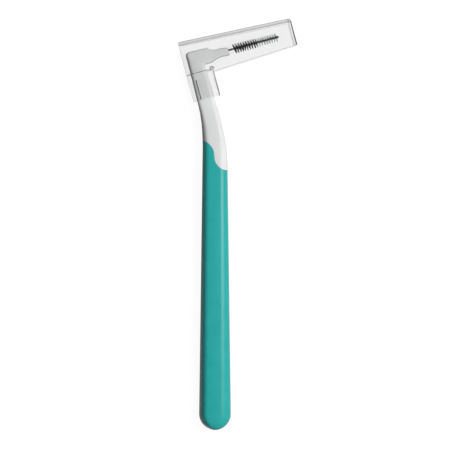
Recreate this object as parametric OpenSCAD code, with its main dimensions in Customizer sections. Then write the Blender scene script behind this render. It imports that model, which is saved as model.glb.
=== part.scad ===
// Angled interdental brush under its clear pull-off cap, lying on its flat side.
// Lengths are in millimetres. Y runs up the handle from the centre of its round
// butt, X points the way the brush points, and Z is up from the side it lies on.

/* [Grip] */
// Width across the round butt
butt_w = 11.1; // [9.5:0.1:14]
// Width at the waist, where the handle starts to narrow into the neck
waist_w = 8.8; // [7.6:0.1:10]
// Height of the waist above the butt's centre
waist_y = 86.5; // [70:0.5:90]
// Depth of the handle, from one flat side to the other
grip_depth = 8.6; // [8.4:0.1:12]
// Rounding of the handle's front edges at the butt
butt_edge_r = 3.7; // [1:0.1:4]
// Rounding of the handle's front edges at the waist
waist_edge_r = 2.6; // [1:0.1:3.5]
// Width of the steep slope along the handle's back edges, at the butt
butt_slope_w = 3; // [1.5:0.1:4.5]
// Drop of that slope at the butt
butt_slope_d = 4.1; // [1.5:0.1:4.1]
// Width of that slope at the waist
waist_slope_w = 2.4; // [1.2:0.1:3.6]
// Drop of that slope at the waist
waist_slope_d = 2.5; // [1.2:0.1:4]
// How late the slope turns down, as the power that its drop follows
slope_power = 2.5; // [2:0.1:4]
// Rounding of the butt's rim, seen edge on
butt_rim_r = 2.4; // [1:0.1:3]

/* [Seam] */
// Height of the middle of the curved seam between grip and core
seam_y = 90.2; // [84:0.1:94]
// Rise of the seam from its middle to its ends
seam_rise = 5.1; // [2:0.1:7]
// Distance of the seam's middle from the handle's line, towards the back
seam_shift = 0.25; // [0:0.05:1]
// Width of the core's tang inside the grip
tang_w = 4.6; // [3:0.1:5.5]
// Depth of the tang
tang_depth = 4.2; // [3:0.1:5.5]
// Length of the tang below the middle of the seam
tang_len = 58; // [20:1:75]
// Gap between the grip and the core that it is moulded round
seam_gap = 0.02; // [0.01:0.01:0.05]

/* [Neck and arm] */
// Tilt of the neck and the head from the handle's line, in degrees
head_tilt = 15; // [12:1:20]
// Height of the elbow above the butt's centre
elbow_y = 124.1; // [120:0.1:132]
// Sideways step from the handle's line to the elbow
elbow_shift = 7; // [6:0.1:8]
// Radius of the bend from the handle's line into the neck's
neck_bend_r = 78; // [30:1:80]
// Height at which the neck reaches its slim width
neck_y = 110.5; // [100:0.5:112]
// Width of the neck inside the cap's collar
neck_w = 6.1; // [5:0.1:6.2]
// Width of the neck where it meets the elbow
elbow_w = 5.5; // [4.8:0.1:6]
// Depth of the neck inside the cap's collar
neck_depth = 5.6; // [4.8:0.1:5.6]
// Rounding of the neck's long edges
neck_edge_r = 1.4; // [0.8:0.1:2.3]
// Rounding of the elbow's outer corner
elbow_r = 1.2; // [1:0.1:2.4]
// Fillet under the arm, where it leaves the neck
fillet_r = 0.6; // [0.3:0.1:1]
// Height of the arm's back above the wire's line, at the elbow
arm_rise = 2.8; // [2.2:0.05:3]
// Drop of the arm's underside below the wire's line, at the elbow
arm_drop = 2.7; // [2.2:0.05:3]
// Reach of the arm from the neck's line to its tip
arm_reach = 11.9; // [9:0.1:14]
// Depth of the arm where it leaves the elbow
arm_root_depth = 4.2; // [3.4:0.1:4.3]
// Depth of the arm along its slim part
arm_depth = 3.5; // [2.8:0.1:4]
// Rounding of the arm's long edges
arm_edge_r = 0.6; // [0.4:0.1:1.3]

/* [Wire] */
// Thickness of the wire
wire_d = 0.32; // [0.2:0.01:0.34]
// Gap that the clamped filaments hold open between the two halves of the wire
strand_gap = 0.1; // [0.09:0.01:0.14]
// Length that the wire advances in one full twist
twist_pitch = 1.78; // [1.4:0.02:2.4]
// Gap between the tip of the brush and the inside of the cap's tip wall
tip_gap = 4.3; // [3:0.05:8]
// Length of the wire that is held inside the arm
wire_in = 7; // [4:0.1:8]
// Gap between the twisted wire and its bore
wire_fit = 0.02; // [0.01:0.01:0.05]

/* [Bristles] */
// Bare wire between the arm's tip and the first bristles
bare_root = 2; // [0.6:0.1:3]
// Bare wire beyond the last bristles
bare_tip = 0.4; // [0.4:0.1:1]
// Share of the bristled length that is black
black_share = 0.52; // [0.3:0.01:0.8]
// Reach of the black bristles from the wire's line, next to the arm
black_root_r = 1.8; // [1:0.01:2.4]
// Reach of the black bristles where they meet the pale ones
black_end_r = 1.72; // [1:0.01:2.4]
// Reach of the pale bristles
pale_r = 1.6; // [1:0.01:2.4]
// Thickness of one bristle, along the wire
bristle_t = 0.055; // [0.03:0.005:0.06]
// Width of one bristle, between the two halves of the wire
bristle_w = 0.06; // [0.03:0.005:0.07]
// Lean of the bristles towards the arm, in degrees
bristle_lean = 10; // [0:1:20]
// Distance from one pair of bristles to the next
bristle_pitch = 0.083; // [0.075:0.001:0.2]

/* [Cap hood] */
// Length of the hood
hood_len = 40.2; // [38:0.1:48]
// Distance from the hood's back to the neck's line
hood_back = 4.4; // [4:0.1:5]
// Height of the hood's roof above the wire's line, at its back
roof_back_y = 7; // [5:0.1:9]
// Height of the hood's roof above the wire's line, at its tip
roof_tip_y = 5; // [4:0.1:7]
// Drop of the hood's lower edge below the wire's line, at the collar
skirt_root_y = 5.95; // [5:0.05:7]
// Drop of the hood's lower edge below the wire's line, at its tip
skirt_tip_y = 4.5; // [3:0.1:6]
// Depth of the hood
hood_depth = 8.2; // [7.8:0.1:8.4]
// Thickness of the hood's roof and tip wall
hood_wall = 1.15; // [0.7:0.05:1.5]
// Thickness of the hood's back wall
back_wall = 0.8; // [0.5:0.05:1.1]
// Rounding of the hood's corner at the tip of the roof
hood_corner_r = 1; // [0.3:0.1:1.4]

/* [Cap collar] */
// Length of the collar's outer side along the neck, below the hood
collar_len = 9.4; // [6:0.1:12]
// Height that the collar's rim reaches up inside the hood
rim_rise = 1; // [0.4:0.1:1.6]
// Width of the collar
collar_w = 9.7; // [9.3:0.1:10.5]
// Thickness of the collar's back and front walls
collar_wall = 1.17; // [0.8:0.01:1.3]
// Width of the slot in the collar's front wall, which the arm passes through
slot_w = 4.7; // [4.6:0.1:5.2]
// Clear depth inside the collar and the hood
cavity_depth = 6.3; // [6:0.1:6.4]
// Length of the two grip ribs inside the collar
rib_len = 7; // [3:0.1:8]
// Width of a grip rib
rib_w = 0.4; // [0.2:0.05:0.8]
// Gap between a grip rib and the neck
rib_fit = 0.05; // [0.02:0.01:0.2]
// Distance of the grip ribs from the neck's line, towards the cap's back
rib_shift = 1.6; // [0.5:0.1:2]

/* [Hidden] */

// How far cutting shapes run past what they cut
overrun = 1;
// Height of the brush's middle plane above the side it lies on
mid_z = grip_depth / 2;

// Facets of the lofted body and of the wire
corner_steps = 7;
butt_steps = 9;
elbow_steps = 6;
wire_sides = 6;
rings_per_twist = 8;
arc_steps = 6;

// Rows of the arm from elbow to tip: reach, back, underside and depth, as shares
// of arm_reach, arm_rise, arm_drop and arm_depth
arm_shares = [
    [0.42, 0.95, 0.99, 1.08],
    [0.47, 0.73, 0.91, 1.04],
    [0.54, 0.58, 0.80, 1.00],
    [0.65, 0.45, 0.66, 1.00],
    [0.78, 0.47, 0.60, 0.98],
    [0.90, 0.41, 0.65, 0.92],
    [1.00, 0.35, 0.63, 0.84]
];

function mix(a, b, t) = a + (b - a) * t;
function smooth(t) = let(c = min(max(t, 0), 1)) c * c * (3 - 2 * c);
function unit(v) = v / norm(v);

// The line of the handle and the neck: straight, one bend, then straight to the elbow
corner_y = elbow_y - elbow_shift / tan(head_tilt);
bend_tangent = neck_bend_r * tan(head_tilt / 2);
bend_start = corner_y - bend_tangent;
bend_len = neck_bend_r * head_tilt * PI / 180;
neck_run = elbow_shift / sin(head_tilt) - bend_tangent;
line_len = bend_start + bend_len + neck_run;

// Place and direction of the line at a distance s from the butt's centre
function line_at(s) =
    s < bend_start ? [0, s, 0]
    : s < bend_start + bend_len
        ? let(a = (s - bend_start) / neck_bend_r * 180 / PI)
            [-neck_bend_r * (1 - cos(a)), bend_start + neck_bend_r * sin(a), a]
        : let(left = line_len - s)
            [-elbow_shift + left * sin(head_tilt), elbow_y - left * cos(head_tilt), head_tilt];

function neck_share(s) = smooth((s - waist_y) / (neck_y - waist_y));
function edge_r(s) =
    s < waist_y ? mix(butt_edge_r, waist_edge_r, s / waist_y)
    : mix(waist_edge_r, neck_edge_r, neck_share(s));
function body_w(s) =
    s < waist_y ? mix(butt_w, waist_w, s / waist_y)
    : s < neck_y ? mix(waist_w, neck_w, neck_share(s))
    : mix(neck_w, elbow_w, (s - neck_y) / (line_len - neck_y));

// Width and drop of the back edges' slope at a distance s from the butt's centre
function slope_at(s) =
    mix([butt_slope_w, butt_slope_d], [waist_slope_w, waist_slope_d], min(s / waist_y, 1));

// A station of the body: its back point, its front point, half its depth, the
// rounding of its edges, its back slope, and how far that is rounded like the rest
function line_station(s) =
    let(
        p = line_at(s),
        across = [cos(p[2]), sin(p[2])] * body_w(s) / 2,
        centre = [p[0], p[1]]
    )
    [centre - across, centre + across, mix(grip_depth, neck_depth, neck_share(s)) / 2,
        edge_r(s), slope_at(s), neck_share(s)];

function butt_station(a) =
    let(
        half = butt_w / 2,
        y = -half * cos(a),
        inset = max(butt_rim_r - (y + half), 0),
        rim = butt_rim_r - sqrt(butt_rim_r * butt_rim_r - inset * inset)
    )
    [[-half * sin(a), y], [half * sin(a), y], grip_depth / 2 - rim, butt_edge_r,
        slope_at(0), 0];

// A point of the head, given from the elbow along the wire and along the neck
function head_point(p) = [
    -elbow_shift + p[0] * cos(head_tilt) - p[1] * sin(head_tilt),
    elbow_y + p[0] * sin(head_tilt) + p[1] * cos(head_tilt)
];

function elbow_station(a) = [
    head_point([elbow_r * (1 - cos(a)) - elbow_w / 2, arm_rise - elbow_r * (1 - sin(a))]),
    head_point([elbow_w / 2 + fillet_r * (1 - cos(a)), -arm_drop - fillet_r * (1 - sin(a))]),
    mix(neck_depth, arm_root_depth, smooth(a / 90)) / 2,
    mix(neck_edge_r, arm_edge_r, a / 90),
    slope_at(waist_y),
    1
];

function arm_station(row) = [
    head_point([arm_reach * row[0], arm_rise * row[1]]),
    head_point([arm_reach * row[0], -arm_drop * row[2]]),
    arm_depth * row[3] / 2,
    arm_edge_r,
    slope_at(waist_y),
    1
];

handle_stops = [for (i = [1:4]) waist_y * i / 4];
neck_stops = [for (i = [1:16]) mix(waist_y, line_len - arm_drop - 2 * fillet_r, i / 16)];
body_stations = concat(
    [for (i = [1:butt_steps]) butt_station(90 * i / butt_steps)],
    [for (s = concat(handle_stops, neck_stops)) line_station(s)],
    [for (i = [0:elbow_steps]) elbow_station(90 * i / elbow_steps)],
    [for (row = arm_shares) arm_station(row)]
);

// Rounded-rectangle ring of one station, with its two back edges sloped instead
ring_count = 4 * (corner_steps + 1);
function ring(station) =
    let(
        back = station[0],
        front = station[1],
        half_w = norm(front - back) / 2,
        half_d = station[2],
        r = min(station[3], 0.96 * half_w, 0.96 * half_d),
        slope_w = min(station[4][0], 0.96 * half_w),
        slope_d = min(station[4][1], 0.96 * half_d),
        centre = (back + front) / 2,
        along = unit(front - back)
    )
    [for (q = [0:3]) for (j = [0:corner_steps])
        let(
            a = 90 * (q + j / corner_steps),
            out = abs(cos(a)),
            rounded = [half_w - r * (1 - out), half_d - r * (1 - abs(sin(a)))],
            sloped = [half_w - slope_w * (1 - out), half_d - slope_d * pow(out, slope_power)],
            at_front = q == 0 || q == 3,
            corner = at_front ? rounded : mix(sloped, rounded, station[5]),
            w = at_front ? corner[0] : -corner[0],
            d = q < 2 ? corner[1] : -corner[1]
        )
        [centre[0] + along[0] * w, centre[1] + along[1] * w, mid_z - d]];

// Triangles of a tube through rings that have count points each
function tube_faces(rings, count) = concat(
    [for (i = [1:count - 2]) [0, i, i + 1]],
    [for (k = [0:rings - 2]) for (i = [0:count - 1])
        let(
            a = k * count + i,
            b = k * count + (i + 1) % count
        )
        each [[a, a + count, b], [b, a + count, b + count]]],
    [for (i = [1:count - 2]) let(base = (rings - 1) * count) [base, base + i + 1, base + i]]
);

// The whole outer shape of the brush, from butt to arm tip
module body_shape() {
    polyhedron(
        points = [for (station = body_stations) each ring(station)],
        faces = tube_faces(len(body_stations), ring_count)
    );
}

// Everything above the curved seam, which is two quarter ellipses end to end
module above_seam() {
    half = waist_w / 2;
    seam = concat(
        [for (i = [0:arc_steps]) let(a = 90 * i / arc_steps)
            [mix(-half, -seam_shift, sin(a)), seam_y + seam_rise * cos(a)]],
        [for (i = [1:arc_steps]) let(a = 90 * i / arc_steps)
            [mix(half, -seam_shift, cos(a)), seam_y - seam_rise * sin(a)]]
    );
    top = elbow_y + arm_reach + roof_back_y;
    far = elbow_shift + arm_reach + butt_w;
    translate([0, 0, -overrun])
        linear_extrude(height = grip_depth + 2 * overrun)
            polygon(concat([[-far, top], [-far, seam_y + seam_rise]], seam,
                [[far, seam_y - seam_rise], [far, top]]));
}

// The tang inside the grip, round at its lower end, grown by a gap on every side
module tang(gap, top) {
    foot = seam_y - tang_len + tang_w / 2;
    translate([0, 0, mid_z - tang_depth / 2 - gap])
        linear_extrude(height = tang_depth + 2 * gap)
            union() {
                translate([-tang_w / 2 - gap, foot])
                    square([tang_w + 2 * gap, top - foot]);
                translate([0, foot])
                    circle(r = tang_w / 2 + gap, $fn = 48);
            }
}

// Places shapes drawn from the elbow, X along the wire and Y along the neck
module at_head() {
    translate([-elbow_shift, elbow_y, mid_z])
        rotate([0, 0, head_tilt])
            children();
}

// White core: tang, neck, elbow and arm in one moulding
module core() {
    color([0.87, 0.88, 0.88])
        difference() {
            union() {
                intersection() {
                    body_shape();
                    above_seam();
                }
                tang(0, seam_y);
            }
            at_head()
                translate([wire_start - wire_end_fit, 0, 0])
                    rotate([0, 90, 0])
                        cylinder(r = twist_r + wire_fit, h = wire_in + wire_end_fit + overrun, $fn = 48);
        }
}

// Teal grip, moulded round the tang
module grip() {
    color([0.17, 0.63, 0.61])
        difference() {
            body_shape();
            translate([0, -seam_gap, 0])
                above_seam();
            tang(seam_gap, seam_y + seam_rise);
        }
}

// The wire is one hairpin: up one side, round the tip and down the other, twisted
strand_r = (wire_d + strand_gap) / 2;
twist_r = strand_r + wire_d / 2;
wire_end_fit = wire_d / 2 + wire_fit;
wire_start = arm_reach - wire_in;
brush_tip = hood_len - hood_back - hood_wall - tip_gap;
wire_end = brush_tip - twist_r;
wire_rings = ceil((wire_end - wire_start) / twist_pitch * rings_per_twist);
turn_rings = 5;

function twist_angle(x) = 360 * (x - wire_start) / twist_pitch;
function strand_point(x, side) =
    let(a = twist_angle(x))
    [x, side * strand_r * cos(a), side * strand_r * sin(a)];
function turn_point(b) =
    let(a = twist_angle(wire_end))
    [wire_end + strand_r * sin(b), strand_r * cos(b) * cos(a), strand_r * cos(b) * sin(a)];
wire_path = concat(
    [for (i = [0:wire_rings]) strand_point(mix(wire_start, wire_end, i / wire_rings), 1)],
    [for (i = [1:turn_rings]) turn_point(180 * i / (turn_rings + 1))],
    [for (i = [wire_rings:-1:0]) strand_point(mix(wire_start, wire_end, i / wire_rings), -1)]
);
function path_step(i) =
    unit(wire_path[min(i + 1, len(wire_path) - 1)] - wire_path[max(i - 1, 0)]);
function wire_ring(i) =
    let(
        p = wire_path[i],
        step = path_step(i),
        out = unit(p - [min(p[0], wire_end), 0, 0]),
        e1 = unit(out - step * (step * out)),
        e2 = cross(step, e1)
    )
    [for (k = [0:wire_sides - 1])
        let(a = 360 * k / wire_sides)
        p + (e1 * cos(a) + e2 * sin(a)) * wire_d / 2];

// Black coated wire, twisted round the middles of the bristles
module wire() {
    color([0.06, 0.06, 0.06])
        at_head()
            polyhedron(
                points = [for (i = [0:len(wire_path) - 1]) each wire_ring(i)],
                faces = tube_faces(len(wire_path), wire_sides)
            );
}

// One pair of bristles at x: the two rings of the clamped strip, then the two tips
function pair_points(x, reach) =
    let(
        a = twist_angle(x) + 90,
        out = [0, cos(a), sin(a)],
        side = [0, -sin(a), cos(a)] * bristle_w / 2,
        half = [bristle_t / 2, 0, 0],
        root = out * bristle_w / 2,
        tip = out * reach,
        lean = [-reach * tan(bristle_lean), 0, 0],
        at = [x, 0, 0]
    )
    concat(
        [for (h = [-half, half]) each [
            at + h + root + side, at + h - root + side, at + h - root - side, at + h + root - side
        ]],
        [for (t = [tip, -tip]) each [
            at + lean - half + t + side, at + lean - half + t - side,
            at + lean + half + t - side, at + lean + half + t + side
        ]]
    );
function quad(a, b, c, d) = [[a, c, b], [a, d, c]];
function pair_faces(n) = concat(
    quad(n, n + 1, n + 5, n + 4),
    quad(n + 2, n + 3, n + 7, n + 6),
    quad(n, n + 4, n + 11, n + 8),
    quad(n + 4, n + 7, n + 10, n + 11),
    quad(n + 7, n + 3, n + 9, n + 10),
    quad(n + 3, n, n + 8, n + 9),
    quad(n + 8, n + 11, n + 10, n + 9),
    quad(n + 5, n + 1, n + 12, n + 15),
    quad(n + 6, n + 5, n + 15, n + 14),
    quad(n + 2, n + 6, n + 14, n + 13),
    quad(n + 1, n + 2, n + 13, n + 12),
    quad(n + 12, n + 13, n + 14, n + 15)
);
function strip_faces(n) = [for (i = [0:3])
    each quad(n + 4 + i, n + 4 + (i + 1) % 4, n + 16 + (i + 1) % 4, n + 16 + i)];

// A run of bristle pairs from x0 to x1, joined by the strip that the wire clamps
module bristles(x0, x1, root_reach, end_reach) {
    pairs = round((x1 - x0) / bristle_pitch);
    half = bristle_t / 2;
    last = 16 * (pairs - 1);
    at_head()
        polyhedron(
            points = [for (i = [0:pairs - 1])
                each pair_points(mix(x0 + half, x1 - half, i / (pairs - 1)),
                    mix(root_reach, end_reach, i / (pairs - 1)))],
            faces = concat(
                [for (i = [0:pairs - 1]) each pair_faces(16 * i)],
                [for (i = [0:pairs - 2]) each strip_faces(16 * i)],
                quad(3, 2, 1, 0),
                quad(last + 4, last + 5, last + 6, last + 7)
            )
        );
}

black_start = arm_reach + bare_root;
pale_end = brush_tip - bare_tip;
black_end = mix(black_start, pale_end, black_share);

// Black bristles, next to the arm
module black_bristles() {
    color([0.09, 0.09, 0.09])
        bristles(black_start, black_end - seam_gap, black_root_r, black_end_r);
}

// Pale bristles, at the tip
module pale_bristles() {
    color([0.80, 0.84, 0.81])
        bristles(black_end, pale_end, pale_r, pale_r);
}

// Points that round the corner at b between a and c
function corner(a, b, c, r) =
    let(
        to_a = unit(a - b),
        to_c = unit(c - b),
        half = acos(to_a * to_c) / 2,
        centre = b + unit(to_a + to_c) * r / sin(half),
        start = b + to_a * r / tan(half) - centre,
        finish = b + to_c * r / tan(half) - centre,
        a0 = atan2(start[1], start[0]),
        turn = atan2(cross(start, finish), start * finish)
    )
    [for (i = [0:arc_steps]) let(t = a0 + turn * i / arc_steps) centre + r * [cos(t), sin(t)]];

// A prism through the depth, centred on the middle plane
module plate(depth, outline) {
    translate([0, 0, -depth / 2])
        linear_extrude(height = depth)
            polygon(outline);
}

// Hood: closed roof, back, tip and sides, open below
hood_x0 = -hood_back;
hood_x1 = hood_len - hood_back;
step_y = rim_rise - skirt_root_y;
collar_x1 = collar_w - hood_back;
collar_foot_y = -skirt_root_y - collar_len + rim_rise;
module hood() {
    roof_back = [hood_x0, roof_back_y];
    roof_tip = [hood_x1, roof_tip_y];
    skirt_tip = [hood_x1, -skirt_tip_y];
    skirt_root = [collar_x1, -skirt_root_y];
    inner_r = hood_corner_r / 2;
    cut_back = [hood_x0 + back_wall, roof_back_y - hood_wall];
    cut_tip = [hood_x1 - hood_wall, roof_tip_y - hood_wall];
    cut_low = -skirt_root_y - overrun;
    difference() {
        plate(hood_depth, concat(
            corner(skirt_tip, roof_tip, roof_back, hood_corner_r),
            corner(roof_tip, roof_back, [hood_x0, step_y], inner_r),
            [[hood_x0, step_y], [collar_x1 - collar_wall, step_y], skirt_root, skirt_tip]
        ));
        plate(cavity_depth, concat(
            corner([cut_tip[0], cut_low], cut_tip, cut_back, inner_r),
            corner(cut_tip, cut_back, [cut_back[0], cut_low], inner_r),
            [[cut_back[0], cut_low], [cut_tip[0], cut_low]]
        ));
    }
}

// Collar: a square tube round the neck, whose back and front walls reach up inside
// the hood with rounded tops
module collar() {
    rim_y = step_y + rim_rise;
    rim_r = collar_wall * 0.45;
    difference() {
        union() {
            plate(grip_depth, [[hood_x0, collar_foot_y], [collar_x1, collar_foot_y],
                [collar_x1, step_y], [hood_x0, step_y]]);
            for (x = [hood_x0, collar_x1 - collar_wall])
                plate(hood_depth, concat(
                    [[x, collar_foot_y], [x + collar_wall, collar_foot_y]],
                    corner([x + collar_wall, collar_foot_y], [x + collar_wall, rim_y], [x, rim_y],
                        rim_r),
                    corner([x + collar_wall, rim_y], [x, rim_y], [x, collar_foot_y], rim_r)
                ));
        }
        plate(cavity_depth, [[hood_x0 + collar_wall, collar_foot_y - overrun],
            [collar_x1 - collar_wall, collar_foot_y - overrun],
            [collar_x1 - collar_wall, rim_y + overrun],
            [hood_x0 + collar_wall, rim_y + overrun]]);
    }
}

// Ribs on the collar's two sides, which pinch the neck and hold the cap on
module grip_ribs() {
    rib_root = cavity_depth / 2 + rib_fit;
    rib_crest = neck_depth / 2 + rib_fit;
    for (side = [0, 1])
        mirror([0, 0, side])
            translate([-rib_shift, collar_foot_y, 0])
                rotate([-90, 0, 0])
                    linear_extrude(height = rib_len)
                        polygon([[-rib_w / 2, -rib_root], [0, -rib_crest],
                            [rib_w / 2, -rib_root]]);
}

// Clear cap, one moulding: it pulls off along the neck, and the arm leaves it
// through the slot in the collar
module cap() {
    color([0.85, 0.90, 0.92, 0.35])
        at_head() {
            difference() {
                union() {
                    hood();
                    collar();
                }
                plate(slot_w, [[collar_x1 - collar_wall - overrun, collar_foot_y - overrun],
                    [collar_x1 + overrun, collar_foot_y - overrun],
                    [collar_x1 + overrun, rim_rise],
                    [collar_x1 - collar_wall - overrun, rim_rise]]);
            }
            grip_ribs();
        }
}

core();
grip();
wire();
black_bristles();
pale_bristles();
cap();
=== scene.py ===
"""Angled interdental brush under its clear cap, lying on its flat side on a white table.
Everything is in metres, with Y up the handle, X the way the brush points and Z up."""

import math
import random

import bmesh
import bpy
from mathutils import Matrix, Vector


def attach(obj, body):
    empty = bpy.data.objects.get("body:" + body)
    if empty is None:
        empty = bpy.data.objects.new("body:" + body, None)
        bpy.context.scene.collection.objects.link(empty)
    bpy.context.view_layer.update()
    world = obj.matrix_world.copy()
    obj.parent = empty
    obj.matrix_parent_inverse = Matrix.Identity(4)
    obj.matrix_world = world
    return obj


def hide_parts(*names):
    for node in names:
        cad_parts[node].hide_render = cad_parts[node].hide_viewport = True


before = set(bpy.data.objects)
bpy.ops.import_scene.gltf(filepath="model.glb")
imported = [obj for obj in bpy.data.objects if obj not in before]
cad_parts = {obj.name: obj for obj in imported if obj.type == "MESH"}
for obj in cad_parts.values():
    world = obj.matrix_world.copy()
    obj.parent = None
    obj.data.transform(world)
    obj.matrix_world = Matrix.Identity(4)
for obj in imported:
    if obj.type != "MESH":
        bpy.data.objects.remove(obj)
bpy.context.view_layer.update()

MM = 0.001
MID_Z = 4.3 * MM
MERGE = 0.002 * MM

# The head's own directions, from the elbow: X along the wire, Y up the neck
HEAD_TILT = math.radians(15)
AT_HEAD = Matrix.Translation((-7 * MM, 124.1 * MM, MID_Z)) @ Matrix.Rotation(HEAD_TILT, 4, "Z")
NECK_DEPTH = 5.6 * MM

# Twisted wire
WIRE_WIDTH = 0.37 * MM
STRAND_RADIUS = 0.2 * MM
TWIST_PITCH = 1.78 * MM
WIRE_START = 4.9 * MM
BRUSH_TIP = 30.35 * MM
WIRE_END = BRUSH_TIP - STRAND_RADIUS - WIRE_WIDTH / 2
WIRE_SIDES = 14
STEPS_A_TURN = 20
STEPS_AT_TIP = 8

# Filaments: where each kind starts and ends, and how unevenly the twist holds them, with the
# lean in degrees
BLACK_START = 13.9 * MM
BLACK_END = 22.246 * MM
PALE_END = 29.95 * MM
FILAMENT_PITCH = 0.03 * MM
FILAMENT_SIDES = 5
FILAMENT_RINGS = 3
FILAMENT_TAPER = 0.6
BUNCHING = 0.07 * MM
TURN_SCATTER = 0.05
REACH_SCATTER = 0.03
LOWER_REACH = 0.04
LEAN = 4
LEAN_SCATTER = 2.5
UPPER_LEAN = 0.14

# Cap: hood, collar, and the two ribs that grip the neck
HOOD_BACK = -4.4 * MM
HOOD_TIP = 35.8 * MM
HOOD_WALL = 1.15 * MM
BACK_WALL = 0.8 * MM
ROOF_AT_BACK = 7 * MM
ROOF_AT_TIP = 5 * MM
SKIRT_AT_ROOT = -5.95 * MM
SKIRT_AT_TIP = -4.5 * MM
ROOF_SLOPE = math.atan((ROOF_AT_TIP - ROOF_AT_BACK) / (HOOD_TIP - HOOD_BACK))
HOOD_DEPTH = 8.2 * MM
COLLAR_FRONT = 5.3 * MM
COLLAR_FOOT = -14.35 * MM
COLLAR_TOP = -4.95 * MM
COLLAR_RIM = -3.95 * MM
COLLAR_DEPTH = 8.6 * MM
COLLAR_WALL = 1.17 * MM
CAVITY_DEPTH = 6.3 * MM
SLOT_WIDTH = 4.7 * MM
RIB_SHIFT = 1.6 * MM
RIB_WIDTH = 0.4 * MM
RIB_LENGTH = 7 * MM
RIB_FIT = 0.05 * MM
INSIDE_FRONT = COLLAR_FRONT - COLLAR_WALL
INSIDE_TIP = HOOD_TIP - HOOD_WALL
INSIDE_BACK = HOOD_BACK + BACK_WALL
COLLAR_INSIDE_BACK = HOOD_BACK + COLLAR_WALL

# Roundings of the cap, and how far one solid reaches into or past the next
TIP_CORNER = 1 * MM
SMALL_CORNER = 0.5 * MM
CORNER_STEPS = 6
WIDEST_RIM = 1.2 * MM
RIM_STEPS = 5
LIP_RIM = 0.5 * MM
LIP_INSET = 0.3 * MM
LIP_ROOT = 0.5 * MM
SLOT_REACH = 0.5 * MM
JOIN = 0.05 * MM
OVERRUN = 1 * MM

# Above this height it is the roof. The rest is how far from a wall still counts as that wall
ROOF_ZONE = 3.5 * MM
TIP_ZONE = 0.9 * MM
INNER_TIP_ZONE = 1 * MM
INNER_ZONE = 0.6 * MM
FRONT_ZONE = 0.1 * MM
FOOT_ZONE = 0.3 * MM

# How strongly painted shade darkens the clear plastic where it turns away
RIB_EDGE_SHADE = 1000
WALL_EDGE_SHADE = 0.03
ROOF_EDGE_SHADE = 0.4
TIP_EDGE_SHADE = 2.2
INNER_TIP_EDGE_SHADE = 6
FRONT_EDGE_SHADE = 1.9
RIM_EDGE_SHADE = 1


# ---- Mesh helpers


def finish_piece(bm, name, place=None):
    """Puts a bmesh in the scene as one object at the origin."""
    if place is not None:
        bm.transform(place)
    mesh = bpy.data.meshes.new(name)
    bm.to_mesh(mesh)
    bm.free()
    piece = bpy.data.objects.new(name, mesh)
    bpy.context.scene.collection.objects.link(piece)
    return piece


def smooth_below(bm, degrees):
    """Smooth faces, with a sharp edge wherever two of them turn by more than this."""
    limit = math.radians(degrees)
    for face in bm.faces:
        face.smooth = True
    for edge in bm.edges:
        edge.smooth = len(edge.link_faces) == 2 and edge.calc_face_angle() < limit


def made(result, kind):
    """The vertices or the edges that an extrusion has made."""
    return [part for part in result["geom"] if isinstance(part, kind)]


# ---- Moulded brush body


def moulding_copy(node, name):
    """The CAD moulding with its corners merged, so that its rounded edges shade as one curve."""
    bm = bmesh.new()
    bm.from_mesh(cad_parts[node].data)
    bmesh.ops.remove_doubles(bm, verts=bm.verts, dist=MERGE / 2)
    bmesh.ops.dissolve_degenerate(bm, edges=bm.edges, dist=MERGE / 4)
    smooth_below(bm, 35)
    return finish_piece(bm, name)


# ---- Twisted wire


def twist_angle(x):
    return 2 * math.pi * (x - WIRE_START) / TWIST_PITCH


def wire_hairpin():
    """One black wire folded at the brush's tip, its two halves twisted round each other."""
    bm = bmesh.new()
    turns = (WIRE_END - WIRE_START) / TWIST_PITCH
    steps = int(turns * STEPS_A_TURN)
    slope = math.atan2(2 * math.pi * STRAND_RADIUS, TWIST_PITCH)
    for side in (1, -1):
        ring = bmesh.ops.create_circle(
            bm, cap_ends=True, radius=WIRE_WIDTH / 2, segments=WIRE_SIDES
        )
        place = (
            Matrix.Translation((WIRE_START, side * STRAND_RADIUS, 0))
            @ Matrix.Rotation(-side * slope, 4, "Y")
            @ Matrix.Rotation(math.pi / 2, 4, "Y")
        )
        bmesh.ops.transform(bm, matrix=place, verts=ring["verts"])
        edges = list({e for v in ring["verts"] for e in v.link_edges})
        half = bmesh.ops.spin(
            bm,
            geom=ring["verts"] + edges,
            cent=(WIRE_START, 0, 0),
            axis=(1, 0, 0),
            dvec=((WIRE_END - WIRE_START) / steps, 0, 0),
            angle=2 * math.pi * turns,
            steps=steps,
            space=Matrix.Identity(4),
            use_merge=False,
            use_duplicate=False,
        )
    # The second half's end is turned over the tip until it meets the first half's end
    end_turn = twist_angle(WIRE_END) + math.pi
    bmesh.ops.spin(
        bm,
        geom=half["geom_last"],
        cent=(WIRE_END, 0, 0),
        axis=(0, math.sin(end_turn), -math.cos(end_turn)),
        dvec=(0, 0, 0),
        angle=math.pi,
        steps=STEPS_AT_TIP,
        space=Matrix.Identity(4),
        use_merge=False,
        use_duplicate=False,
    )
    bmesh.ops.remove_doubles(bm, verts=bm.verts, dist=MERGE)
    bmesh.ops.recalc_face_normals(bm, faces=bm.faces)
    smooth_below(bm, 50)
    return finish_piece(bm, "wire_hairpin", AT_HEAD)


# ---- Filaments


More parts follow.
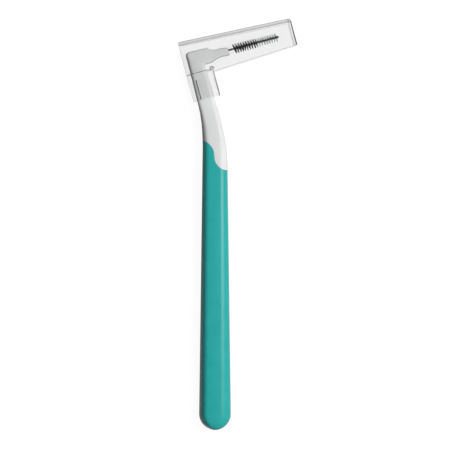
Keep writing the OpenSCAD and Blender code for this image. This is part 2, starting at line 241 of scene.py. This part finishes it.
def straight_filament(width):
    """One filament standing on Z, one unit long, tapered at its tip and closed at both ends."""
    bm = bmesh.new()
    bmesh.ops.create_circle(bm, cap_ends=False, radius=width / 2, segments=FILAMENT_SIDES)
    edges = list(bm.edges)
    for _ in range(FILAMENT_RINGS):
        grown = bmesh.ops.extrude_edge_only(bm, edges=edges)
        ring = made(grown, bmesh.types.BMVert)
        edges = made(grown, bmesh.types.BMEdge)
        bmesh.ops.translate(bm, vec=(0, 0, 1 / FILAMENT_RINGS), verts=ring)
    bmesh.ops.scale(bm, vec=(FILAMENT_TAPER, FILAMENT_TAPER, 1), verts=ring)
    bmesh.ops.contextual_create(bm, geom=edges)
    foot = [e for e in bm.edges if e.is_boundary]
    bmesh.ops.contextual_create(bm, geom=foot)
    bmesh.ops.recalc_face_normals(bm, faces=bm.faces)
    for face in bm.faces:
        face.smooth = True
    return bm


def filament_tuft(name, start, end, reach_at, seed, width, wave):
    """Nylon filaments held between the two halves of the wire, fanned out by its twist."""
    rng = random.Random(seed)
    template = straight_filament(width)
    tuft = bmesh.new()
    one = bpy.data.meshes.new("one_filament")
    count = round((end - start) / FILAMENT_PITCH)
    for i in range(count):
        along = (i + 0.5) / count
        x = start + (end - start) * along
        x += BUNCHING * math.sin(2 * twist_angle(x))
        for half_turn in (0, math.pi):
            turn = twist_angle(x) + half_turn + rng.gauss(0, TURN_SCATTER)
            lower = math.sin(turn)
            # Those below the wire are longest, and those above it lean most towards the arm
            uneven = 1 + LOWER_REACH * lower - abs(rng.gauss(0, REACH_SCATTER))
            reach = reach_at(along) * uneven
            tilt = math.radians(LEAN + rng.gauss(0, LEAN_SCATTER))
            lean = math.tan(tilt) - UPPER_LEAN * lower
            bend = rng.gauss(0, wave)
            filament = template.copy()
            for v in filament.verts:
                t = v.co.z
                v.co.x += reach * (bend * t * (1 - t) - lean * t)
            # Drawn out along Z to its length, then turned to where the twist holds it
            place = (
                Matrix.Translation((x, 0, 0))
                @ Matrix.Rotation(turn, 4, "X")
                @ Matrix.Diagonal((1, 1, reach, 1))
            )
            filament.transform(place)
            filament.to_mesh(one)
            tuft.from_mesh(one)
            filament.free()
    template.free()
    bpy.data.meshes.remove(one)
    return finish_piece(tuft, name, AT_HEAD)


# ---- Clear cap


def moulded_plate(corners, depth, roundings, rim_radius):
    """A flat outline through the depth, with chosen corners rounded. rim_radius(x, y) is the
    rounding of the two rims at that place, which the Bevel modifier takes as its weights."""
    bm = bmesh.new()
    points = [bm.verts.new((x, y, -depth / 2)) for x, y in corners]
    bm.faces.new(points)
    for index, radius in roundings.items():
        bmesh.ops.bevel(
            bm,
            geom=[points[index]],
            offset=radius,
            offset_type="OFFSET",
            segments=CORNER_STEPS,
            profile=0.5,
            affect="VERTICES",
            material=-1,
        )
    grown = bmesh.ops.extrude_face_region(bm, geom=list(bm.faces))
    bmesh.ops.translate(bm, vec=(0, 0, depth), verts=made(grown, bmesh.types.BMVert))
    bmesh.ops.recalc_face_normals(bm, faces=bm.faces)
    if rim_radius:
        weight = bm.edges.layers.float.new("bevel_weight_edge")
        for edge in bm.edges:
            first, second = (v.co for v in edge.verts)
            if abs(first.z - second.z) < MERGE:
                middle = (first + second) / 2
                edge[weight] = rim_radius(middle.x, middle.y) / WIDEST_RIM
    return bm


def solid(name, corners, depth, roundings=None, rim=None):
    """One solid of the cap, with its rims rounded where rim says so."""
    piece = finish_piece(moulded_plate(corners, depth, roundings or {}, rim), name)
    if rim:
        rounding = piece.modifiers.new("rims", "BEVEL")
        rounding.limit_method = "WEIGHT"
        rounding.width = WIDEST_RIM
        rounding.segments = RIM_STEPS
    return piece


def block(name, left, right, low, high, depth, **finish):
    corners = [(left, low), (right, low), (right, high), (left, high)]
    return solid(name, corners, depth, **finish)


def reshape(base, tools, operation):
    """Adds solids to the base or cuts them out of it, and keeps the result as its mesh."""
    for tool in tools:
        bpy.context.view_layer.update()
        boolean = base.modifiers.new("shape", "BOOLEAN")
        boolean.operation = operation
        boolean.solver = "EXACT"
        boolean.object = tool
        depsgraph = bpy.context.evaluated_depsgraph_get()
        mesh = bpy.data.meshes.new_from_object(base.evaluated_get(depsgraph))
        base.modifiers.clear()
        base.data = mesh
        bpy.data.objects.remove(tool)


def hood_rim(x, y):
    """Widest round the tip, wide along the roof, and crisp round the open underside."""
    if x > HOOD_TIP - TIP_ZONE:
        return 1.1 * MM
    return 0.8 * MM if y > ROOF_ZONE else 0.15 * MM


def hollow_rim(x, y):
    """Widest round the tip, and crisp at the back."""
    if x > INSIDE_TIP - INNER_ZONE:
        return 0.6 * MM
    return 0.05 * MM if x < INSIDE_BACK + INNER_ZONE else 0.35 * MM


def collar_rim(x, y):
    """Wide at the front, and crisp elsewhere."""
    return 0.9 * MM if x > COLLAR_FRONT - FRONT_ZONE else 0.1 * MM


def collar_rib(side):
    """A rib with a three-cornered section, from the collar's inner wall to the neck."""
    root = side * (CAVITY_DEPTH / 2 + RIB_FIT)
    crest = side * (NECK_DEPTH / 2 + RIB_FIT)
    foot = COLLAR_FOOT + 0.01 * MM
    corners = [(-RIB_WIDTH / 2, root), (0, crest), (RIB_WIDTH / 2, root)]
    bm = bmesh.new()
    bm.faces.new([bm.verts.new((x - RIB_SHIFT, foot, z)) for x, z in corners])
    grown = bmesh.ops.extrude_face_region(bm, geom=list(bm.faces))
    bmesh.ops.translate(bm, vec=(0, RIB_LENGTH, 0), verts=made(grown, bmesh.types.BMVert))
    bmesh.ops.recalc_face_normals(bm, faces=bm.faces)
    return finish_piece(bm, "rib")


def edge_shade_at(face):
    """How strongly painted shade darkens a face where it turns away: the ribs fully, the rounded
    rims well, and hardly at all the flat walls, the collar's foot and the cap's back."""
    middle = face.calc_center_median()
    if abs(middle.x + RIB_SHIFT) < RIB_WIDTH / 2 and middle.y < COLLAR_FOOT + RIB_LENGTH:
        return RIB_EDGE_SHADE
    at_roof = middle.y > ROOF_ZONE
    at_foot = middle.y < COLLAR_FOOT + FOOT_ZONE
    at_back = middle.x < INSIDE_BACK + INNER_ZONE and not at_roof
    rounded = 0.02 < abs(face.normal.z) < 0.98
    if at_foot or at_back or not rounded:
        return WALL_EDGE_SHADE
    if at_roof:
        return ROOF_EDGE_SHADE
    if middle.x > INSIDE_TIP - INNER_TIP_ZONE:
        return TIP_EDGE_SHADE if middle.x > INSIDE_TIP else INNER_TIP_EDGE_SHADE
    if middle.x > INSIDE_FRONT - FRONT_ZONE and middle.y < SKIRT_AT_ROOT:
        return FRONT_EDGE_SHADE
    return RIM_EDGE_SHADE


def clear_cap():
    """Hood and collar in one clear moulding, open below, with the arm's slot in front."""
    cap = solid(
        "clear_cap",
        [
            (HOOD_BACK, COLLAR_TOP),
            (INSIDE_FRONT, COLLAR_TOP),
            (COLLAR_FRONT, SKIRT_AT_ROOT),
            (HOOD_TIP, SKIRT_AT_TIP),
            (HOOD_TIP, ROOF_AT_TIP),
            (HOOD_BACK, ROOF_AT_BACK),
        ],
        HOOD_DEPTH,
        {4: TIP_CORNER, 5: SMALL_CORNER},
        hood_rim,
    )
    hollow = solid(
        "hollow",
        [
            (INSIDE_BACK, SKIRT_AT_ROOT - OVERRUN),
            (INSIDE_TIP, SKIRT_AT_ROOT - OVERRUN),
            (INSIDE_TIP, ROOF_AT_TIP - HOOD_WALL),
            (INSIDE_BACK, ROOF_AT_BACK - HOOD_WALL),
        ],
        CAVITY_DEPTH,
        {2: SMALL_CORNER, 3: SMALL_CORNER},
        hollow_rim,
    )
    reshape(cap, [hollow], "DIFFERENCE")
    collar = block(
        "collar",
        HOOD_BACK,
        COLLAR_FRONT,
        COLLAR_FOOT,
        COLLAR_TOP,
        COLLAR_DEPTH,
        rim=collar_rim,
    )
    # The collar's rim stands inside the hood as a rounded lip at the back and at the front
    lips = [
        block(
            "lip",
            left,
            right,
            COLLAR_TOP - OVERRUN,
            COLLAR_RIM,
            depth,
            roundings={corner: SMALL_CORNER for corner in rounded},
            rim=lambda x, y: LIP_RIM,
        )
        for left, right, depth, rounded in (
            (HOOD_BACK + LIP_INSET, COLLAR_INSIDE_BACK + JOIN, CAVITY_DEPTH + LIP_ROOT, (2,)),
            (INSIDE_FRONT - JOIN, COLLAR_FRONT - JOIN, CAVITY_DEPTH - 2 * JOIN, (2, 3)),
        )
    ]
    reshape(cap, [collar] + lips, "UNION")
    neck_room = block(
        "neck_room",
        COLLAR_INSIDE_BACK,
        INSIDE_FRONT,
        COLLAR_FOOT - OVERRUN,
        COLLAR_RIM + OVERRUN,
        CAVITY_DEPTH,
    )
    slot = block(
        "slot",
        INSIDE_FRONT - SLOT_REACH,
        COLLAR_FRONT + OVERRUN,
        COLLAR_FOOT - OVERRUN,
        COLLAR_RIM + OVERRUN,
        SLOT_WIDTH,
    )
    reshape(cap, [neck_room, slot], "DIFFERENCE")
    reshape(cap, [collar_rib(side) for side in (1, -1)], "UNION")
    bm = bmesh.new()
    bm.from_mesh(cap.data)
    bmesh.ops.remove_doubles(bm, verts=bm.verts, dist=MERGE)
    smooth_below(bm, 30)
    # Each face keeps how strongly painted shade darkens it where it turns away
    edge_shade = bm.faces.layers.float.new("edge_shade")
    for face in bm.faces:
        face[edge_shade] = edge_shade_at(face)
    bm.transform(AT_HEAD)
    bm.to_mesh(cap.data)
    bm.free()
    return cap


# ---- Materials


def material(name):
    mat = bpy.data.materials.new(name)
    mat.use_nodes = True
    nodes = mat.node_tree.nodes
    return mat, nodes, mat.node_tree.links, nodes["Principled BSDF"]


def surface_grain(nodes, links, shader, scale, height, roughness, spread):
    """Fine moulded grain: a little bump, and a gloss that wanders slightly. What it gives back
    is the slow drift in that gloss."""
    place = nodes.new("ShaderNodeTexCoord")
    grain = nodes.new("ShaderNodeTexNoise")
    grain.inputs["Scale"].default_value = scale
    grain.inputs["Detail"].default_value = 4
    links.new(place.outputs["Object"], grain.inputs["Vector"])
    bump = nodes.new("ShaderNodeBump")
    bump.inputs["Strength"].default_value = 0.35
    bump.inputs["Distance"].default_value = height
    links.new(grain.outputs["Fac"], bump.inputs["Height"])
    links.new(bump.outputs["Normal"], shader.inputs["Normal"])
    drift = nodes.new("ShaderNodeTexNoise")
    drift.inputs["Scale"].default_value = scale / 12
    drift.inputs["Detail"].default_value = 2
    links.new(place.outputs["Object"], drift.inputs["Vector"])
    gloss = nodes.new("ShaderNodeMapRange")
    gloss.inputs["To Min"].default_value = roughness - spread
    gloss.inputs["To Max"].default_value = roughness + spread
    links.new(drift.outputs["Fac"], gloss.inputs["Value"])
    links.new(gloss.outputs["Result"], shader.inputs["Roughness"])
    return drift.outputs["Fac"]


def grained(name, scale, height, roughness, spread, dark, light, settings):
    """A finish with moulded grain and a colour that drifts between dark and light. Settings are
    the shader's other values, by the names of their sockets."""
    mat, nodes, links, shader = material(name)
    drift = surface_grain(nodes, links, shader, scale, height, roughness, spread)
    tint = nodes.new("ShaderNodeValToRGB")
    darker, lighter = tint.color_ramp.elements
    darker.position, darker.color = 0.3, (*dark, 1)
    lighter.position, lighter.color = 0.7, (*light, 1)
    links.new(drift, tint.inputs["Fac"])
    links.new(tint.outputs["Color"], shader.inputs["Base Color"])
    for socket, value in settings.items():
        shader.inputs[socket].default_value = value
    return mat


def teal_elastomer():
    return grained(
        "teal_elastomer",
        scale=2600,
        height=0.012 * MM,
        roughness=0.29,
        spread=0.03,
        dark=(0.022, 0.355, 0.340),
        light=(0.026, 0.380, 0.363),
        settings={"Specular IOR Level": 0.12},
    )


def white_polymer():
    return grained(
        "white_polymer",
        scale=2200,
        height=0.008 * MM,
        roughness=0.42,
        spread=0.03,
        dark=(0.695, 0.70, 0.70),
        light=(0.725, 0.73, 0.73),
        settings={
            "Specular IOR Level": 0.15,
            "Subsurface Weight": 1,
            "Subsurface Radius": (1, 1, 1),
            "Subsurface Scale": 0.5 * MM,
        },
    )


def coated_wire():
    return grained(
        "coated_wire",
        scale=6000,
        height=0.006 * MM,
        roughness=0.38,
        spread=0.05,
        dark=(0.006, 0.006, 0.006),
        light=(0.014, 0.014, 0.014),
        settings={"Specular IOR Level": 0.2},
    )


def black_nylon():
    return grained(
        "black_nylon",
        scale=9000,
        height=0.002 * MM,
        roughness=0.45,
        spread=0.05,
        dark=(0.006, 0.006, 0.006),
        light=(0.016, 0.016, 0.016),
        settings={"Specular IOR Level": 0.2},
    )


def pale_nylon():
    return grained(
        "pale_nylon",
        scale=9000,
        height=0.002 * MM,
        roughness=0.4,
        spread=0.05,
        dark=(0.38, 0.46, 0.42),
        light=(0.48, 0.56, 0.52),
        settings={"Alpha": 0.55},
    )


def maths(nodes, links, operation, *terms):
    """One Math node over its terms, each a number or another node's output."""
    node = nodes.new("ShaderNodeMath")
    node.operation = operation
    for socket, term in zip(node.inputs, terms):
        if isinstance(term, float):
            socket.default_value = term
        else:
            links.new(term, socket)
    return node.outputs["Value"]


def grey_ramp(nodes, stops):
    """A ramp through the stops, each a position and a shade from 0 to 1."""
    ramp = nodes.new("ShaderNodeValToRGB")
    elements = ramp.color_ramp.elements
    elements.remove(elements[1])
    elements[0].position = stops[0][0]
    for position, _ in stops[1:]:
        elements.new(position)
    for element, (_, shade) in zip(elements, stops):
        element.color = (shade, shade, shade, 1)
    return ramp


def turned_edges(nodes, links):
    """Painted shade on the clear plastic: white where it faces the eye and darker where it turns
    away, as strongly as the cap's per-face attribute says."""
    turned = nodes.new("ShaderNodeLayerWeight")
    turned.inputs["Blend"].default_value = 0.5
    edge_shade = nodes.new("ShaderNodeAttribute")
    edge_shade.attribute_name = "edge_shade"
    darkness = maths(nodes, links, "MULTIPLY", turned.outputs["Facing"], edge_shade.outputs["Fac"])
    edge = grey_ramp(nodes, ((0.04, 1), (0.17, 0.06), (0.9, 0)))
    links.new(darkness, edge.inputs["Fac"])
    return edge.outputs["Color"]


def broad_sides(nodes, links):
    """1 on the cap's two broad sides, and 0 on the walls between them."""
    flat = nodes.new("ShaderNodeNewGeometry")
    side = nodes.new("ShaderNodeSeparateXYZ")
    links.new(flat.outputs["True Normal"], side.inputs["Vector"])
    return maths(nodes, links, "ABSOLUTE", side.outputs["Z"])


def wall_shade_band(nodes, links, across, turn, outer_face, shades):
    """Painted shade across a wall of the hood seen edge-on: how dark it is from its inner face to
    its outer one. Each shade has its distance from the inner face in millimetres."""
    place = nodes.new("ShaderNodeTexCoord")
    head = nodes.new("ShaderNodeMapping")
    head.vector_type = "TEXTURE"
    head.inputs["Location"].default_value = AT_HEAD.to_translation()
    head.inputs["Rotation"].default_value = (0, 0, turn)
    links.new(place.outputs["Object"], head.inputs["Vector"])
    split = nodes.new("ShaderNodeSeparateXYZ")
    links.new(head.outputs["Vector"], split.inputs["Vector"])
    before = 0.15 * MM
    depth = nodes.new("ShaderNodeMapRange")
    depth.inputs["From Min"].default_value = outer_face - HOOD_WALL - before
    depth.inputs["From Max"].default_value = outer_face
    links.new(split.outputs[across], depth.inputs["Value"])
    stops = [(0, 1)]
    for distance, shade in shades:
        stops.append(((distance * MM + before) / (HOOD_WALL + before), shade))
    wall = grey_ramp(nodes, stops)
    links.new(depth.outputs["Result"], wall.inputs["Fac"])
    return wall.outputs["Color"]


def clear_polymer():
    """Clear plastic with painted shade where it turns away and painted grey bands along the walls
    of the roof and the tip, and that lets lamps light what is inside it."""
    mat, nodes, links, shader = material("clear_polymer")
    shader.inputs["Transmission Weight"].default_value = 1
    shader.inputs["IOR"].default_value = 1.5
    surface_grain(nodes, links, shader, scale=300, height=0.001 * MM, roughness=0.03, spread=0.01)

    colour = turned_edges(nodes, links)
    broad = broad_sides(nodes, links)
    roof_face = ROOF_AT_BACK * math.cos(ROOF_SLOPE) - HOOD_BACK * math.sin(ROOF_SLOPE)
    roof = ((0.05, 0.5), (0.35, 0.56), (0.7, 0.86), (1.15, 0.9))
    tip = ((0.02, 0.74), (0.25, 0.74), (0.4, 1), (1.15, 1))
    # Painted grey bands along the roof and tip walls, multiplied in on the cap's broad sides
    for band in (
        wall_shade_band(nodes, links, "Y", HEAD_TILT + ROOF_SLOPE, roof_face, roof),
        wall_shade_band(nodes, links, "X", HEAD_TILT, HOOD_TIP, tip),
    ):
        band_shaded = nodes.new("ShaderNodeMix")
        band_shaded.data_type = "RGBA"
        band_shaded.blend_type = "MULTIPLY"
        ends = {socket.identifier: socket for socket in band_shaded.inputs}
        links.new(broad, ends["Factor_Float"])
        links.new(colour, ends["A_Color"])
        links.new(band, ends["B_Color"])
        colour = band_shaded.outputs["Result"]
    links.new(colour, shader.inputs["Base Color"])

    open_to_lamps = nodes.new("ShaderNodeBsdfTransparent")
    open_to_lamps.inputs["Color"].default_value = (0.94, 0.94, 0.94, 1)
    path = nodes.new("ShaderNodeLightPath")
    seen = shader.outputs["BSDF"]
    for ray in ("Is Shadow Ray", "Is Diffuse Ray"):
        mix = nodes.new("ShaderNodeMixShader")
        links.new(path.outputs[ray], mix.inputs["Fac"])
        links.new(seen, mix.inputs[1])
        links.new(open_to_lamps.outputs["BSDF"], mix.inputs[2])
        seen = mix.outputs["Shader"]
    links.new(seen, nodes["Material Output"].inputs["Surface"])
    body = nodes.new("ShaderNodeVolumeAbsorption")
    body.inputs["Color"].default_value = (0.86, 0.865, 0.865, 1)
    body.inputs["Density"].default_value = 130
    links.new(body.outputs["Volume"], nodes["Material Output"].inputs["Volume"])
    return mat


# ---- Table, light and camera


def seen_directly(nodes, links):
    """1 for what the camera sees, directly or in gloss or clear plastic, and 0 for light on
    its way."""
    ray = nodes.new("ShaderNodeLightPath").outputs
    seen = maths(nodes, links, "MAXIMUM", ray["Is Camera Ray"], ray["Is Glossy Ray"])
    seen = maths(nodes, links, "MAXIMUM", seen, ray["Is Transmission Ray"])
    unlit = maths(nodes, links, "LESS_THAN", ray["Diffuse Depth"], 0.5)
    return maths(nodes, links, "MULTIPLY", seen, unlit)


def white_table():
    """White where it is seen, with a faint shadow under the brush."""
    half_width = 6
    clearance = 0.02 * MM
    bm = bmesh.new()
    bmesh.ops.create_grid(bm, x_segments=1, y_segments=1, size=half_width)
    bmesh.ops.translate(bm, verts=bm.verts, vec=(0, 0, -clearance))
    table = finish_piece(bm, "table")
    mat, nodes, links, shader = material("white_table")
    shader.inputs["Base Color"].default_value = (0.22, 0.22, 0.22, 1)
    shader.inputs["Roughness"].default_value = 1
    shader.inputs["Specular IOR Level"].default_value = 0
    lift = nodes.new("ShaderNodeEmission")
    lift.inputs["Strength"].default_value = 0.955
    lit = nodes.new("ShaderNodeBsdfDiffuse")
    lit.inputs["Color"].default_value = (0.08, 0.08, 0.08, 1)
    white = nodes.new("ShaderNodeAddShader")
    links.new(lift.outputs[0], white.inputs[0])
    links.new(lit.outputs[0], white.inputs[1])
    mix = nodes.new("ShaderNodeMixShader")
    links.new(seen_directly(nodes, links), mix.inputs["Fac"])
    links.new(shader.outputs["BSDF"], mix.inputs[1])
    links.new(white.outputs[0], mix.inputs[2])
    links.new(mix.outputs[0], nodes["Material Output"].inputs["Surface"])
    table.data.materials.append(mat)


def studio_world():
    """White all round at the table's level, and dim overhead, where no view looks."""
    white_up_to = math.radians(20)
    dim_from = math.radians(45)
    overhead = 0.1
    light_on_its_way = 0.05
    world = bpy.data.worlds.new("studio")
    bpy.context.scene.world = world
    world.use_nodes = True
    nodes, links = world.node_tree.nodes, world.node_tree.links
    back = nodes["Background"]
    back.inputs["Color"].default_value = (1, 1, 1, 1)
    place = nodes.new("ShaderNodeTexCoord")
    split = nodes.new("ShaderNodeSeparateXYZ")
    links.new(place.outputs["Generated"], split.inputs["Vector"])
    wall = nodes.new("ShaderNodeMapRange")
    wall.inputs["From Min"].default_value = math.sin(white_up_to)
    wall.inputs["From Max"].default_value = math.sin(dim_from)
    wall.inputs["To Min"].default_value = 1
    wall.inputs["To Max"].default_value = overhead
    links.new(split.outputs["Z"], wall.inputs["Value"])
    level = nodes.new("ShaderNodeMapRange")
    level.inputs["To Min"].default_value = light_on_its_way
    links.new(seen_directly(nodes, links), level.inputs["Value"])
    links.new(wall.outputs["Result"], level.inputs["To Max"])
    links.new(level.outputs["Result"], back.inputs["Strength"])


def softbox(name, place, aim, size, watts):
    """A rectangular lamp that isn't seen through the clear cap."""
    light = bpy.data.lights.new(name, "AREA")
    light.shape = "RECTANGLE"
    light.size, light.size_y = size
    light.energy = watts
    lamp = bpy.data.objects.new(name, light)
    bpy.context.scene.collection.objects.link(lamp)
    lamp.visible_transmission = False
    lamp.location = place
    lamp.rotation_euler = (Vector(aim) - Vector(place)).to_track_quat("-Z", "Y").to_euler()


def photo_camera():
    """Straight down on the brush, with a long lens."""
    # In millimetres, as a lens is
    sensor = 36
    distance = 900
    table_in_view = 157.5
    lens = bpy.data.cameras.new("camera")
    lens.sensor_width = sensor
    lens.lens = sensor * distance / table_in_view
    lens.clip_end = 50
    camera = bpy.data.objects.new("camera", lens)
    bpy.context.scene.collection.objects.link(camera)
    camera.location = (3.5 * MM, 66.1 * MM, distance * MM + MID_Z)
    bpy.context.scene.camera = camera


photo_camera()
bpy.context.scene.view_settings.view_transform = "Standard"
studio_world()
white_table()
middle = (3 * MM, 66 * MM, MID_Z)
softbox("key", place=(0.45, 0.12, 0.69), aim=middle, size=(0.2, 0.5), watts=8.2)

grip = moulding_copy("grip", "grip_moulding")
core = moulding_copy("core", "core_moulding")
wire = wire_hairpin()
black = filament_tuft(
    "black_filaments",
    BLACK_START,
    BLACK_END,
    reach_at=lambda along: (1.8 - 0.08 * along) * MM,
    seed=11,
    width=0.085 * MM,
    wave=0.05,
)
pale = filament_tuft(
    "pale_filaments",
    BLACK_END,
    PALE_END,
    reach_at=lambda along: 1.6 * MM,
    seed=23,
    width=0.05 * MM,
    wave=0.09,
)
cap = clear_cap()

for piece, body, node, slot, mat in (
    (grip, "brush", "grip", "grip", teal_elastomer()),
    (core, "brush", "core", "core", white_polymer()),
    (wire, "brush", "wire", "wire", coated_wire()),
    (black, "brush", "black_bristles", "black_bristles", black_nylon()),
    (pale, "brush", "pale_bristles", "pale_bristles", pale_nylon()),
    (cap, "cap", "cap", "cap", clear_polymer()),
):
    piece.data.materials.clear()
    piece.data.materials.append(mat)
    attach(piece, body)
    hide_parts(node)
